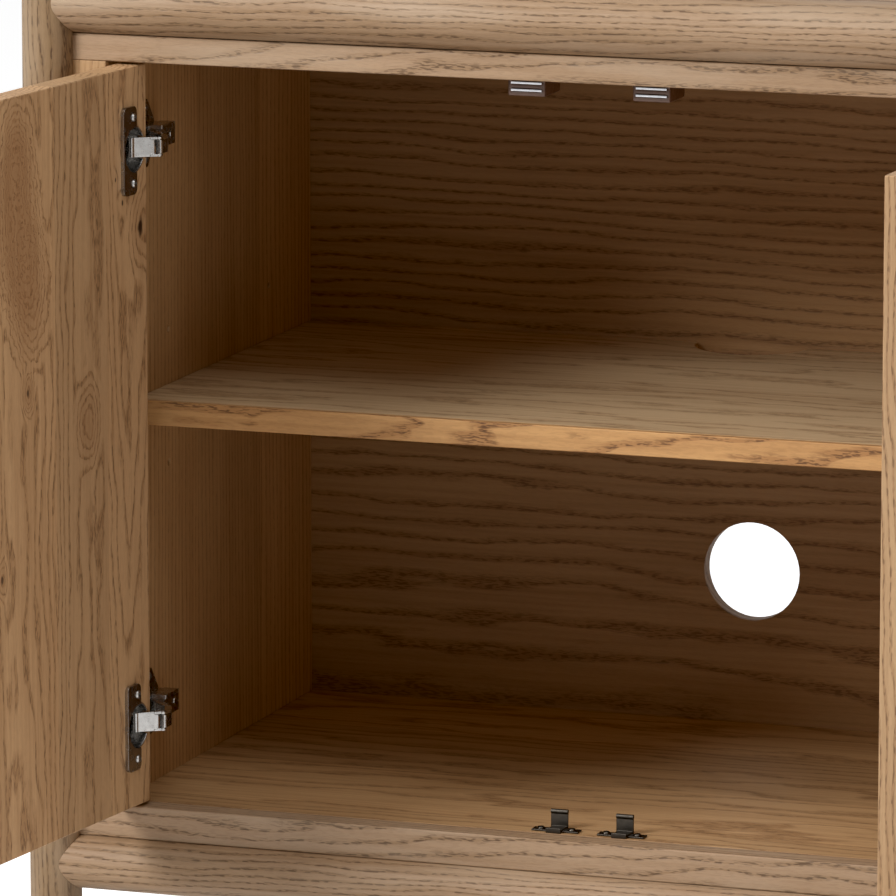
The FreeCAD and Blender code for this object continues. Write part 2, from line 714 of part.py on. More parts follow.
def catch_parts():
    """Housings, pole plates and magnets of the two magnetic catches under the ceiling."""
    housings = []
    poles = []
    magnets = []
    body_z = "%s - %s" % (CEILING, P("catch_height"))
    for sign, word in ((-1, "left"), (1, "right")):
        middle = "%d * %s" % (sign, P("catch_spread"))
        shell = block("catch_shell_" + word,
                      ("%s - %s / 2" % (middle, P("catch_width")), CATCH_Y, body_z),
                      (P("catch_width"), P("catch_depth"), P("catch_height")))
        ears = block("catch_ears_" + word,
                     ("%s - %s / 2 - %s" % (middle, P("catch_width"), P("catch_ear")),
                      "%s + %s" % (CATCH_Y, P("catch_ear_start")),
                      "%s - %s" % (CEILING, P("catch_ear_thick"))),
                     ("%s + 2 * %s" % (P("catch_width"), P("catch_ear")), P("catch_ear_depth"),
                      P("catch_ear_thick")))
        poles_here = []
        for turn, end in ((-1, "low"), (1, "high")):
            pole_z = "%s + %s / 2 + %d * %s / 2 - %s / 2" % (
                body_z, P("catch_height"), turn, P("pole_spacing"), P("pole_thick"))
            poles_here.append(block("pole_%s_%s" % (word, end),
                                    ("%s - %s / 2 + %s" % (middle, P("catch_width"),
                                                           P("pole_inset")),
                                     "%s - %s" % (CATCH_Y, P("pole_proud")), pole_z),
                                    ("%s - 2 * %s" % (P("catch_width"), P("pole_inset")),
                                     P("pole_length"), P("pole_thick"))))
        magnet = block("catch_magnet_" + word,
                       ("%s - %s / 2 + %s" % (middle, P("catch_width"), P("magnet_inset")),
                        "%s + %s" % (CATCH_Y, P("magnet_back")),
                        "%s + %s / 2 - (%s - %s) / 2" % (body_z, P("catch_height"),
                                                         P("pole_spacing"), P("pole_thick"))),
                       ("%s - 2 * %s" % (P("catch_width"), P("magnet_inset")),
                        P("magnet_length"), "%s - %s" % (P("pole_spacing"), P("pole_thick"))))
        housings.append(cut("catch_housing_" + word, join("catch_blank_" + word, [shell, ears]),
                            poles_here + [magnet, fixing_screws]))
        poles.extend(poles_here)
        magnets.append(magnet)
    finish(group("catch_housings", housings), "catch_housings")
    finish(group("catch_poles", poles), "catch_poles")
    finish(group("catch_magnets", magnets), "catch_magnets")


catch_parts()


def stop_clips():
    """Folded steel clips on the bottom: screw wings, a raised strap with a lip, a rear tab."""
    clips = []
    for sign, word in ((-1, "left"), (1, "right")):
        middle = "%d * %s" % (sign, P("stop_spread"))
        strap_x = "%s - %s / 2" % (middle, P("stop_strap"))
        sheet_metal = P("stop_sheet")
        wings = block("clip_wings_" + word,
                      ("%s - %s / 2" % (middle, P("stop_width")),
                       "%s + %s" % (STOP_Y, P("stop_wing_start")), FLOOR),
                      (P("stop_width"), P("stop_wing_depth"), sheet_metal))
        strap = block("clip_strap_" + word, (strap_x, STOP_Y, FLOOR),
                      (P("stop_strap"), P("stop_length"), P("stop_strap_thick")))
        lip = block("clip_lip_" + word, (strap_x, STOP_Y, FLOOR),
                    (P("stop_strap"), sheet_metal, P("stop_lip")))
        tab_x = "%s - %s" % (strap_x, P("stop_tab_side"))
        tab_width = "%s + 2 * %s" % (P("stop_strap"), P("stop_tab_side"))
        tab = block("clip_tab_" + word,
                    (tab_x, "%s + %s - %s" % (STOP_Y, P("stop_length"), sheet_metal), FLOOR),
                    (tab_width, sheet_metal, P("stop_height")))
        roll = rod("clip_roll_" + word, P("stop_roll_radius"), tab_width,
                   (tab_x, "%s + %s - %s / 2" % (STOP_Y, P("stop_length"), sheet_metal),
                    "%s + %s" % (FLOOR, P("stop_height"))), "+x")
        clips.append(cut("stop_clip_" + word,
                         join("clip_blank_" + word, [wings, strap, lip, tab, roll]),
                         [fixing_screws]))
    return clips


finish(group("stop_clips", stop_clips()), "stop_clips")

# ---------------------------------------------------------------- hinge arms and plates

# Outlines are drawn on a left-hand hinge, from the arm's pivot: x towards the cabinet's
# middle, y towards its back.
ARM_OUTLINE = [(-2.0, -2.2), (2.0, -2.2), (3.0, -0.8), (3.0, 9.0), (-4.0, 28.0),
               (-SIZES["arm_low"], 42.0), (-SIZES["arm_low"], SIZES["arm_end"]),
               (-SIZES["arm_seat"], SIZES["arm_end"]), (-SIZES["arm_seat"], 46.0),
               (-22.0, 38.0), (-9.0, 26.0), (-2.6, 8.0), (-3.0, 1.0)]


def plate_wing(name):
    """The tapering wing pair of a mounting plate, drawn flat and padded to the sheet."""
    width = SIZES["wing_width"]
    spread = SIZES["wing_spread"]
    straight = spread - SIZES["wing_taper"]
    tip = SIZES["wing_tip"]
    points = [(-width / 2, -straight), (-tip / 2, -spread), (tip / 2, -spread),
              (width / 2, -straight), (width / 2, straight), (tip / 2, spread),
              (-tip / 2, spread), (-width / 2, straight)]
    return outline_pad(name, points, P("wing_thick"), "YZ_Plane")


PLATE_THICK = "(%s + %s - %s)" % (P("arm_pivot_in"), P("axis_inset"), P("arm_seat"))


def hinge_fixed_parts():
    """Arms, mounting plates, pins and adjusting screws of the four hinges."""
    arms = []
    plates = []
    pins = []
    adjusters = []
    for level, z in HINGE_LEVELS.items():
        strap = outline_pad("arm_%s_strap" % level, ARM_OUTLINE, P("arm_width"))
        place(strap, ("-" + PIVOT_X, PIVOT_Y, z))
        saddle = block("arm_%s_saddle" % level,
                       ("-%s - %s" % (PIVOT_X, P("arm_seat")),
                        "%s + %s" % (PIVOT_Y, P("saddle_start")),
                        "%s - %s / 2" % (z, P("saddle_width"))),
                       ("%s - %s" % (P("arm_seat"), P("arm_low")),
                        "%s - %s" % (P("arm_end"), P("saddle_start")), P("saddle_width")))
        arm_blank = join("arm_%s_blank" % level, [strap, saddle])
        pin = rod("pin_" + level, P("arm_pin_radius"), P("link_width"),
                  ("-" + PIVOT_X, PIVOT_Y, "%s - %s / 2" % (z, P("link_width"))), "+z")
        adjuster = rod("adjuster_" + level, P("adjuster_radius"), P("adjuster_length"),
                       ("-%s - %s + %s" % (PIVOT_X, P("arm_low"), P("adjuster_proud")),
                        "%s + %s" % (PIVOT_Y, P("adjuster_back")), z), "-x")
        arm = cut("arm_" + level, arm_blank, [pin, adjuster])
        base = block("plate_%s_base" % level,
                     ("-" + HALF, "%s + %s" % (FACE, P("plate_front")),
                      "%s - %s / 2" % (z, P("plate_width"))),
                     (PLATE_THICK, P("plate_length"), P("plate_width")))
        wing = plate_wing("plate_%s_wing" % level)
        place(wing, ("-%s + %s / 2" % (HALF, P("wing_thick")),
                     "%s + %s" % (FACE, P("wing_back")), z))
        plate = cut("plate_" + level, join("plate_%s_blank" % level, [base, wing]),
                    [fixing_screws, arm_blank])
        for store, item in ((arms, arm), (plates, plate), (pins, pin), (adjusters, adjuster)):
            store.append(item)
            store.append(mirrored(item.Name + "_right", item))
    finish(group("hinge_arms", arms), "hinge_arms")
    finish(group("mounting_plates", plates), "mounting_plates")
    finish(group("hinge_pins", pins), "hinge_pins")
    finish(group("adjusting_screws", adjusters), "adjusting_screws")


hinge_fixed_parts()

# ---------------------------------------------------------------- doors and what rides on them

# A door's pieces are drawn closed, on the left, from the hinge axis: x along the door, y to the
# back, z from the floor.  Each finished piece is then swung open about that axis.
DOOR_EDGE = "(%s - %s)" % (P("door_side_gap"), P("axis_inset"))
DOOR_WIDTH = "(%s - %s - %s / 2)" % (HALF, P("door_side_gap"), P("door_centre_gap"))
DOOR_OUT = "(%s - %s)" % (P("door_setback"), P("axis_setback"))
DOOR_IN = "(%s + %s)" % (DOOR_OUT, P("door_thick"))
DOOR_FOOT = "(%s + %s)" % (FLOOR, P("door_foot_gap"))
DOOR_HEIGHT = "(%s - %s - %s)" % (P("inner_height"), P("door_foot_gap"), P("door_top_gap"))
CUP_X = "(%s + %s)" % (DOOR_EDGE, P("cup_edge"))
FLANGE_X = "(%s + %s)" % (DOOR_EDGE, P("flange_edge"))
KNOB_X = "(%s + %s - %s)" % (DOOR_EDGE, DOOR_WIDTH, P("knob_inset"))
KNOB_Z = "(%s + %s / 2)" % (DOOR_FOOT, DOOR_HEIGHT)
STRIKE_X = "(%s - %s)" % (AXIS_X, P("catch_spread"))
STRIKE_Z = "(%s - %s / 2)" % (CEILING, P("catch_height"))


def door_screws():
    """Pan-head screws through the cup flanges, two to each."""
    screws = []
    for level, z in HINGE_LEVELS.items():
        for turn, end in ((-1, "low"), (1, "high")):
            at = (FLANGE_X, "%s + %s" % (DOOR_IN, P("flange_thick")),
                  "%s + %d * %s" % (z, turn, P("cup_screw_spread")))
            screws.append(small_screw("cup_screw_%s_%s" % (level, end), at, "-y"))
    return screws


def hinge_cups(screws):
    """Deep-drawn cups with a lip, a screw flange and an open mouth, relieved for the link."""
    cups = []
    for level, z in HINGE_LEVELS.items():
        name = "cup_" + level
        wall = rod(name + "_wall", P("cup_radius"), "%s + %s" % (P("cup_depth"), P("cup_lip")),
                   (CUP_X, "%s + %s" % (DOOR_IN, P("cup_lip")), z), "-y")
        flange = block(name + "_flange", ("%s - %s" % (FLANGE_X, P("flange_near")), DOOR_IN,
                                          "%s - %s / 2" % (z, P("flange_length"))),
                       (P("flange_width"), P("flange_thick"), P("flange_length")))
        mouth = rod(name + "_mouth", "%s - %s" % (P("cup_radius"), P("cup_wall")),
                    "%s + %s - %s" % (P("cup_depth"), P("flange_thick"), P("cup_wall")),
                    (CUP_X, "%s + %s" % (DOOR_IN, P("flange_thick")), z), "-y")
        relief = block(name + "_relief", (DOOR_EDGE, "%s - %s" % (DOOR_IN, P("cup_relief")),
                                          "%s - %s / 2 - %s" % (z, P("link_width"),
                                                                P("link_play"))),
                       (P("cup_relief_width"), "%s + %s" % (P("cup_relief"), P("flange_thick")),
                        "%s + 2 * %s" % (P("link_width"), P("link_play"))))
        cups.append(cut(name, join(name + "_blank", [wall, flange]), [mouth, relief, screws]))
    return cups


def door_slab(screws, knob_screw):
    board = block("door_board", (DOOR_EDGE, DOOR_OUT, DOOR_FOOT),
                  (DOOR_WIDTH, P("door_thick"), DOOR_HEIGHT))
    bores = []
    for level, z in HINGE_LEVELS.items():
        bores.append(rod("cup_bore_" + level, P("cup_radius"), P("cup_depth"),
                         (CUP_X, DOOR_IN, z), "-y"))
    strike_pilot = rod("strike_stud_hole", P("strike_stud_radius"), P("strike_stud_length"),
                       (STRIKE_X, DOOR_IN, STRIKE_Z), "-y")
    return cut("door_slab", board, bores + [strike_pilot, screws, knob_screw])


cup_screws = group("cup_screws", door_screws())
knob_shank = rod("knob_shank", P("knob_screw_radius"),
                 "%s + %s" % (P("door_thick"), P("knob_screw_reach")),
                 (KNOB_X, DOOR_IN, KNOB_Z), "-y")
knob_head = taper("knob_screw_head", (P("knob_head_radius"), P("knob_head_flat")),
                  P("knob_head_thick"), (KNOB_X, DOOR_IN, KNOB_Z), "+y")
knob_screw = join("knob_screw", [knob_shank, knob_head])
slab = door_slab(cup_screws, knob_shank)
cups = group("hinge_cups", hinge_cups(cup_screws))

# The knob's half outline, as radius and height over the door's face.
knob_profile = [(0.0, 0.0), (9.0, 0.0), (9.0, 3.0), (6.5, 5.0), (6.0, 9.0), (9.0, 13.0),
                (13.0, 17.0), (14.0, 20.5), (13.0, 24.0), (9.5, 26.5), (0.0, 27.5)]
knob_turning = turned("knob_turning", knob_profile)
knob_turning.Placement = Placement(Vector(), WAYS["-y"])
place(knob_turning, (KNOB_X, DOOR_OUT, KNOB_Z))
knob = cut("knob", knob_turning, [knob_shank])

strike_disc = rod("strike_disc", P("strike_radius"), P("strike_thick"),
                  (STRIKE_X, "%s + %s" % (DOOR_IN, P("strike_thick")), STRIKE_Z), "-y")
strike_stud = rod("strike_stud", P("strike_stud_radius"), P("strike_stud_length"),
                  (STRIKE_X, DOOR_IN, STRIKE_Z), "-y")
strike_trim = block("strike_trim", ("%s - %s" % (STRIKE_X, P("strike_radius")), DOOR_IN,
                                    "%s - %s" % (CEILING, P("door_top_gap"))),
                    ("2 * " + P("strike_radius"), P("strike_thick"), P("strike_radius")))
strike = cut("strike", join("strike_blank", [strike_disc, strike_stud]), [strike_trim])


def swing(name, item, side):
    """The finished copy of a door piece, on its side and swung open about the hinge axis."""
    if side < 0:
        copy = group(name, [item])
        angle = "-" + P("left_door_open")
        place(copy, ("-" + AXIS_X, AXIS_Y, "0"))
    else:
        copy = group(name, [mirrored(name + "_mirror", item)])
        angle = P("right_door_open")
        place(copy, (AXIS_X, AXIS_Y, "0"))
    copy.setExpression("Placement.Rotation.Angle", angle)
    return finish(copy, name)


for side, word in ((-1, "left"), (1, "right")):
    swing(word + "_door", slab, side)
    swing(word + "_hinge_cups", cups, side)
    swing(word + "_cup_screws", cup_screws, side)
    swing(word + "_knob", knob, side)
    swing(word + "_knob_screw", knob_screw, side)
    swing(word + "_strike_plate", strike, side)


def hinge_links():
    """Outer links with their ears and cup knuckle, and the inner links laid in their backs.

    Drawn for a closed left-hand door from the arm's pivot, so a link points along -x."""
    outer = []
    inner = []
    length = P("link_length")
    width = P("link_width")
    sheet_metal = P("link_sheet")
    recess = "%s - %s / 2" % (P("link_skin"), sheet_metal)
    for level, z in HINGE_LEVELS.items():
        name = "link_" + level
        web = block(name + "_web", ("-" + length, "-%s / 2" % sheet_metal,
                                    "%s - %s / 2" % (z, width)),
                    ("%s - %s" % (length, P("link_arm_gap")), sheet_metal, width))
        window = block(name + "_window", ("-%s + %s" % (length, P("link_window_in")),
                                          recess,
                                          "%s - %s / 2" % (z, P("link_window_width"))),
                       (P("link_window_length"), sheet_metal, P("link_window_width")))
        knuckle = rod(name + "_knuckle", P("knuckle_radius"), width,
                      ("-" + length, "0", "%s - %s / 2" % (z, width)), "+z")
        pieces = [web, knuckle]
        for sign, end in ((-1, "low"), (1, "high")):
            ear_z = ("%s - %s / 2" % (z, width) if sign < 0
                     else "%s + %s / 2 - %s" % (z, width, sheet_metal))
            pieces.append(rod("%s_%s_ear" % (name, end), P("link_ear_radius"), sheet_metal,
                              ("0", "0", ear_z), "+z"))
            pieces.append(block("%s_%s_cheek" % (name, end),
                                ("-" + P("cheek_length"), "-" + P("cheek_front"), ear_z),
                                (P("cheek_length"), P("cheek_depth"), sheet_metal)))
        hole = rod(name + "_hole", "%s + %s" % (P("arm_pin_radius"), P("pin_clearance")),
                   "%s + 2 * %s" % (width, P("link_play")),
                   ("0", "0", "%s - %s / 2 - %s" % (z, width, P("link_play"))), "+z")
        outer.append(cut(name, join(name + "_blank", pieces), [window, hole]))
        inner.append(block("inner_" + name, ("-%s + %s" % (length, P("link_window_in")),
                                             recess,
                                             "%s - %s / 2" % (z, P("inner_link_width"))),
                           (P("link_window_length"), "%s - %s" % (sheet_metal, P("link_skin")),
                            P("inner_link_width"))))
    return group("outer_links", outer), group("inner_links", inner)


outer_links, inner_links = hinge_links()


def swing_link(name, item, side):
    """A link copy on its side, turned about the arm's pivot as far as its door stands open."""
    if side < 0:
        copy = group(name, [item])
        angle = "%s * %s" % (P("link_ratio"), P("left_door_open"))
        place(copy, ("-" + PIVOT_X, PIVOT_Y, "0"))
    else:
        copy = group(name, [mirrored(name + "_mirror", item)])
        angle = "-%s * %s" % (P("link_ratio"), P("right_door_open"))
        place(copy, (PIVOT_X, PIVOT_Y, "0"))
    copy.setExpression("Placement.Rotation.Angle", angle)
    return finish(copy, name)


for side, word in ((-1, "left"), (1, "right")):
    swing_link(word + "_outer_links", outer_links, side)
    swing_link(word + "_inner_links", inner_links, side)

# ---------------------------------------------------------------- build, test and write

doc.recompute()

for item in doc.Objects:
    if "Invalid" in item.State or "Error" in item.State:
        raise RuntimeError("%s did not build: %s" % (item.Label, item.State))

os.makedirs("parts", exist_ok=True)
for item in finished:
    shape = item.Shape
    if shape.isNull() or not shape.isValid() or not shape.Solids:
        raise RuntimeError("%s has no valid solid" % item.Label)
    shape.exportStep("parts/%s.step" % item.Label)
    print(item.Label, len(shape.Solids), round(shape.Volume / 1000.0, 2), "cm3")
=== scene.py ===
import json
from math import cos, radians, sin

import bmesh
import bpy
from mathutils import Matrix, Vector

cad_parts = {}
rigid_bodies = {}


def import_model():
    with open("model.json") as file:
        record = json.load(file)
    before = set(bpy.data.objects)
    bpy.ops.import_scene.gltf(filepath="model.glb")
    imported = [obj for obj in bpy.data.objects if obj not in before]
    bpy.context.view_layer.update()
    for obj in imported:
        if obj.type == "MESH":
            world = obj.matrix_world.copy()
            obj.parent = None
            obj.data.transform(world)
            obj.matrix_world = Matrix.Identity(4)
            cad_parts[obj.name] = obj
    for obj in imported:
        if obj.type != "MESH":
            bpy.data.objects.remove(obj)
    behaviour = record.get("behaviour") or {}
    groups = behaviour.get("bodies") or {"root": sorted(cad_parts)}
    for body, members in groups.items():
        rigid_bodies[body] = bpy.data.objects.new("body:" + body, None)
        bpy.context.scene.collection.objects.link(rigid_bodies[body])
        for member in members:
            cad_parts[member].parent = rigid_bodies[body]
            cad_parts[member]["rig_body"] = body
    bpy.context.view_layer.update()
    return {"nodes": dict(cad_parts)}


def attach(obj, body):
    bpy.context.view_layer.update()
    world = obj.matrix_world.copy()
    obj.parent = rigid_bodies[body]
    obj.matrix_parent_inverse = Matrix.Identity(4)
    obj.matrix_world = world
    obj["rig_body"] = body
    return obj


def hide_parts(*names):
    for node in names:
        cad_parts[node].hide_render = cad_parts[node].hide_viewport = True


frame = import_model()


# Corner posts: four turned oak rounds, 38 mm across, with softly domed tops. Each is sanded,
# wire-brushed so that the pores stay open, stained tan and given a thin greyish wash.
def linear(colour):
    """An sRGB hex colour as linear red, green, blue and alpha."""
    channels = [int(colour[i:i + 2], 16) / 255 for i in (0, 2, 4)]
    return [c / 12.92 if c <= 0.04045 else ((c + 0.055) / 1.055) ** 2.4 for c in channels] + [1.0]


def add(tree, kind, inputs=None, output=0, stops=None, **settings):
    """Adds one node with its settings, its links or values, and a ramp's stops.

    Gives the named output, or the node itself where it has none.
    """
    node = tree.nodes.new("ShaderNode" + kind)
    for key, value in settings.items():
        setattr(node, key, value)
    for socket, value in (inputs or {}).items():
        if isinstance(value, bpy.types.NodeSocket):
            tree.links.new(value, node.inputs[socket])
        else:
            node.inputs[socket].default_value = value
    for i, (position, level) in enumerate(stops or []):
        point = node.color_ramp.elements[i] if i < 2 else node.color_ramp.elements.new(position)
        point.position = position
        point.color = (level, level, level, 1)
    return node.outputs[output] if node.outputs else node


def oak(name, along, across, pale, warm, deep, origin=(0, 0, 0), board=0.09, ring=0.0045, tilt=0.035,
        figure=0.6, pores=0.6, wash=0.0, boards=0.1, relief=0.25, aside=0.0, wander=0.022, knots=()):
    """Sawn oak: growth rings round a pith behind each board, open pores, fibres and a pale wash.

    along is the grain and across is the way the boards lie side by side, both from the origin.
    board and ring are their widths in metres, and tilt is how far the pith leans off the grain.
    figure, pores, wash and boards are how strongly each shows. aside moves the pith sideways, which
    straightens the figure, and wander is how far the rings stray. A knot is its place along and
    across the grain, its size, how dark its heart is and how far it pushes the rings aside.
    """
    material = bpy.data.materials.new(name)
    material.use_nodes = True
    tree = material.node_tree
    tree.nodes.clear()
    along, across = Vector(along).normalized(), Vector(across).normalized()
    turn = Matrix((along, across, along.cross(across)))
    place = add(tree, "TexCoord", output="Object")
    grain = add(tree, "Mapping", {"Vector": place, "Rotation": turn.to_euler(),
                                  "Location": -(turn @ Vector(origin))})
    u, v, w = add(tree, "SeparateXYZ", {0: grain}).node.outputs
    count = add(tree, "Math", {0: add(tree, "Math", {0: v, 1: board}, operation="DIVIDE")},
                operation="FLOOR")
    chance = add(tree, "TexWhiteNoise", {"W": count}, output="Color", noise_dimensions="1D")
    ca, cb, cc = add(tree, "SeparateXYZ", {0: chance}).node.outputs
    # each board is cut from another part of the tree
    own = add(tree, "VectorMath", {0: chance, 1: (6.0, 0.8, 0.6), 2: grain}, operation="MULTIPLY_ADD")

    def streaks(lengthwise, crosswise, detail):
        """Noise drawn out along the grain, with so many waves to the metre along and across it."""
        drawn_out = add(tree, "VectorMath", {0: own, 1: (lengthwise, crosswise, crosswise)},
                        operation="MULTIPLY")
        return add(tree, "TexNoise", {"Vector": drawn_out, "Scale": 1.0, "Detail": detail})

    # knots: a hard dark heart that the rings flow round, with an edge broken every 6 mm
    heart = halo = 0.0
    rough_edge = add(tree, "TexNoise", {"Vector": grain, "Scale": 160.0, "Detail": 3.0}) if knots else 0
    for ku, kv, size, dark, flow in knots:
        gap = add(tree, "VectorMath", {0: grain, 1: (-ku, -kv, 0)}, operation="ADD")
        gap = add(tree, "VectorMath", {0: gap, 1: (0.55 / size, 1 / size, 0)}, operation="MULTIPLY")
        gap = add(tree, "VectorMath", {0: gap}, output="Value", operation="LENGTH")
        gap = add(tree, "Math", {0: rough_edge, 1: 0.7, 2: gap}, operation="MULTIPLY_ADD")
        near = add(tree, "MapRange", {0: gap, 1: 0.65, 2: 1.15, 3: dark, 4: 0.0},
                   interpolation_type="SMOOTHSTEP")
        wide = add(tree, "MapRange", {0: gap, 1: 0.4, 2: 4.5, 3: flow, 4: 0.0},
                   interpolation_type="SMOOTHSTEP")
        heart = add(tree, "Math", {0: near, 1: heart}, operation="MAXIMUM")
        halo = add(tree, "Math", {0: wide, 1: halo}, operation="ADD")
    # ring radius, with the pith 20 to 70 mm behind the face and off to one side
    side = add(tree, "Math", {0: v, 1: 0.0, 2: board}, operation="WRAP")
    pith = add(tree, "MapRange", {0: ca, 3: aside - 0.2 * board, 4: aside - 0.8 * board})
    side = add(tree, "Math", {0: side, 1: pith}, operation="ADD")
    lean = add(tree, "MapRange", {0: cb, 3: -tilt, 4: tilt})
    behind = add(tree, "Math", {0: u, 1: lean, 2: w}, operation="MULTIPLY_ADD")
    behind = add(tree, "Math", {0: behind, 1: add(tree, "MapRange", {0: cc, 3: 0.02, 4: 0.07})},
                 operation="ADD")
    radius = add(tree, "VectorMath", {0: add(tree, "CombineXYZ", {1: side, 2: behind})},
                 output="Value", operation="LENGTH")
    # the rings stray in long waves with short ripples on them
    strayed = add(tree, "Math", {0: streaks(4.0, 22.0, 2.0), 1: wander, 2: radius},
                  operation="MULTIPLY_ADD")
    strayed = add(tree, "Math", {0: streaks(25.0, 90.0, 1.0), 1: 0.18 * wander, 2: strayed},
                  operation="MULTIPLY_ADD")
    if knots:
        strayed = add(tree, "Math", {0: halo, 1: strayed}, operation="ADD")
    phase = add(tree, "Math", {0: strayed, 1: ring}, operation="DIVIDE")
    phase = add(tree, "Math", {0: phase}, operation="FRACT")
    # each year starts in coarse dark early wood and fades into pale late wood
    year = [(0.0, 1.0), (1.0, 1.0), (0.13, 0.6), (0.36, 0.1), (0.86, 0.18)]
    early = add(tree, "ValToRGB", {0: phase}, stops=year)
    # open pores, 7 mm dashes about 1 mm wide, thickest in the early wood
    dash = add(tree, "MapRange", {0: streaks(150.0, 900.0, 1.0), 1: 0.47, 2: 0.6},
               interpolation_type="SMOOTHSTEP")
    crowd = add(tree, "MapRange", {0: early, 1: 0.2, 2: 0.9, 3: 0.12, 4: 1.0})
    pore = add(tree, "Math", {0: dash, 1: crowd}, operation="MULTIPLY")
    # fibres 4 mm apart, and colour that drifts over a hand's width
    fibre = streaks(7.0, 260.0, 4.0)
    drift = streaks(2.5, 14.0, 3.0)
    tone = add(tree, "Math", {0: fibre, 1: 0.5}, operation="SUBTRACT")
    tone = add(tree, "Math", {0: early, 1: figure, 2: tone}, operation="MULTIPLY_ADD")
    tone = add(tree, "Math", {0: drift, 1: 0.9, 2: tone}, operation="MULTIPLY_ADD", use_clamp=True)
    tone = add(tree, "Math", {0: tone, 1: 0.4}, operation="SUBTRACT", use_clamp=True)
    colour = add(tree, "Mix", {0: tone, 6: linear(pale), 7: linear(warm)}, output=2, data_type="RGBA")
    open_pore = add(tree, "Math", {0: pore, 1: pores}, operation="MULTIPLY")
    colour = add(tree, "Mix", {0: open_pore, 6: colour, 7: linear(deep)}, output=2, data_type="RGBA")
    shade = add(tree, "MapRange", {0: ca, 3: 1.0 - boards, 4: 1.0 + boards})
    colour = add(tree, "VectorMath", {0: colour, 3: shade}, operation="SCALE")
    if knots:
        reddish = add(tree, "MapRange", {0: halo, 1: 0.0, 2: 0.03, 3: 0.0, 4: 0.5})
        colour = add(tree, "Mix", {0: reddish, 6: colour, 7: linear("7d5230")}, output=2,
                     data_type="RGBA")
        colour = add(tree, "Mix", {0: heart, 6: colour, 7: linear("2c190e")}, output=2, data_type="RGBA")
    if wash:
        # the wash stays in patches about 20 mm wide
        worn = add(tree, "MapRange", {0: streaks(6.0, 45.0, 5.0), 1: 0.45, 2: 0.72, 3: 0.0, 4: wash})
        colour = add(tree, "Mix", {0: worn, 6: colour, 7: linear("b8a58e")}, output=2, data_type="RGBA")
    # brushing sinks the pores and the early wood, by up to 0.6 mm
    height = add(tree, "Math", {0: pore, 1: -1.0, 2: fibre}, operation="MULTIPLY_ADD")
    height = add(tree, "Math", {0: early, 1: -0.35, 2: height}, operation="MULTIPLY_ADD")
    bump = add(tree, "Bump", {"Strength": relief, "Distance": 0.0006, "Height": height})
    rough = add(tree, "MapRange", {0: tone, 3: 0.52, 4: 0.66})
    surface = add(tree, "BsdfPrincipled", {"Base Color": colour, "Roughness": rough, "Normal": bump,
                                           "Specular IOR Level": 0.35})
    add(tree, "OutputMaterial", {"Surface": surface})
    return material


def eased(node, arris, material, segments=3, sharp=35, rounds=()):
    """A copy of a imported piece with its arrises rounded, riding with it and standing for it.

    rounds are pairs of a test for edges and the larger radius that those edges get first.
    """
    source = frame["nodes"][node]
    mesh = bpy.data.meshes.new(node + "_eased")
    bm = bmesh.new()
    bm.from_mesh(source.data)
    bmesh.ops.remove_doubles(bm, verts=bm.verts, dist=2e-6)
    bmesh.ops.dissolve_limit(bm, angle_limit=radians(0.4), verts=bm.verts, edges=bm.edges)
    for picked, radius in rounds:
        bmesh.ops.bevel(bm, geom=[e for e in bm.edges if picked(e)], offset=radius, offset_type="OFFSET",
                        affect="EDGES", segments=6, profile=0.5, material=-1, clamp_overlap=True)
    edges = [e for e in bm.edges if len(e.link_faces) == 2 and e.calc_face_angle(0) > radians(sharp)]
    bmesh.ops.bevel(bm, geom=edges, offset=arris, offset_type="OFFSET", affect="EDGES", profile=0.5,
                    segments=segments, material=-1, clamp_overlap=False, miter_outer="ARC")
    bmesh.ops.triangulate(bm, faces=[f for f in bm.faces if len(f.verts) > 4])
    bm.to_mesh(mesh)
    bm.free()
    # rounds shade smoothly and corners stay crisp
    mesh.shade_smooth()
    mesh.set_sharp_from_angle(angle=radians(52))
    mesh.materials.clear()
    mesh.materials.append(material)
    piece = bpy.data.objects.new(node + "_eased", mesh)
    bpy.context.scene.collection.objects.link(piece)
    even = piece.modifiers.new("even_normals", "WEIGHTED_NORMAL")
    even.keep_sharp = True
    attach(piece, source["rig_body"])
    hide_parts(node)
    return piece


X, Y, Z = (1, 0, 0), (0, 1, 0), (0, 0, 1)
WEATHERED = dict(pale="a6896c", warm="80613f", deep="452d19", figure=0.55, pores=0.75, wash=0.35,
                 board=0.5, ring=0.005, relief=0.5)
# the posts are coloured a shade darker than the rails
DARKER = {**WEATHERED, "pale": "927758", "warm": "6f5233"}
SANDED = 0.0008
# the least turn between faces, in degrees, of a real corner: a round has smaller ones
CORNER = 50
post_oak = oak("weathered_oak_posts", Z, X, origin=(0.25, 0.03, 0), **DARKER)
for node in ("left_front_post", "right_front_post", "left_rear_post", "right_rear_post"):
    eased(node, SANDED, post_oak, sharp=CORNER)

# Rails: bullnosed oak rails at the top and half-round ones at the bottom, coped round the posts
# and dowelled to them, and square ones behind. Same brushed and washed finish as the posts.
rail_oak = oak("weathered_oak_rails", X, Y, origin=(0, 0.21, 0), **WEATHERED)
side_rail_oak = oak("weathered_oak_side_rails", Y, X, origin=(0.23, 0, 0), **WEATHERED)
for node in ("front_top_rail", "front_bottom_rail", "rear_top_rail", "rear_bottom_rail"):
    eased(node, SANDED, rail_oak, sharp=CORNER)
for node in ("left_top_rail", "right_top_rail", "left_bottom_rail", "right_bottom_rail"):
    eased(node, SANDED, side_rail_oak, sharp=CORNER)

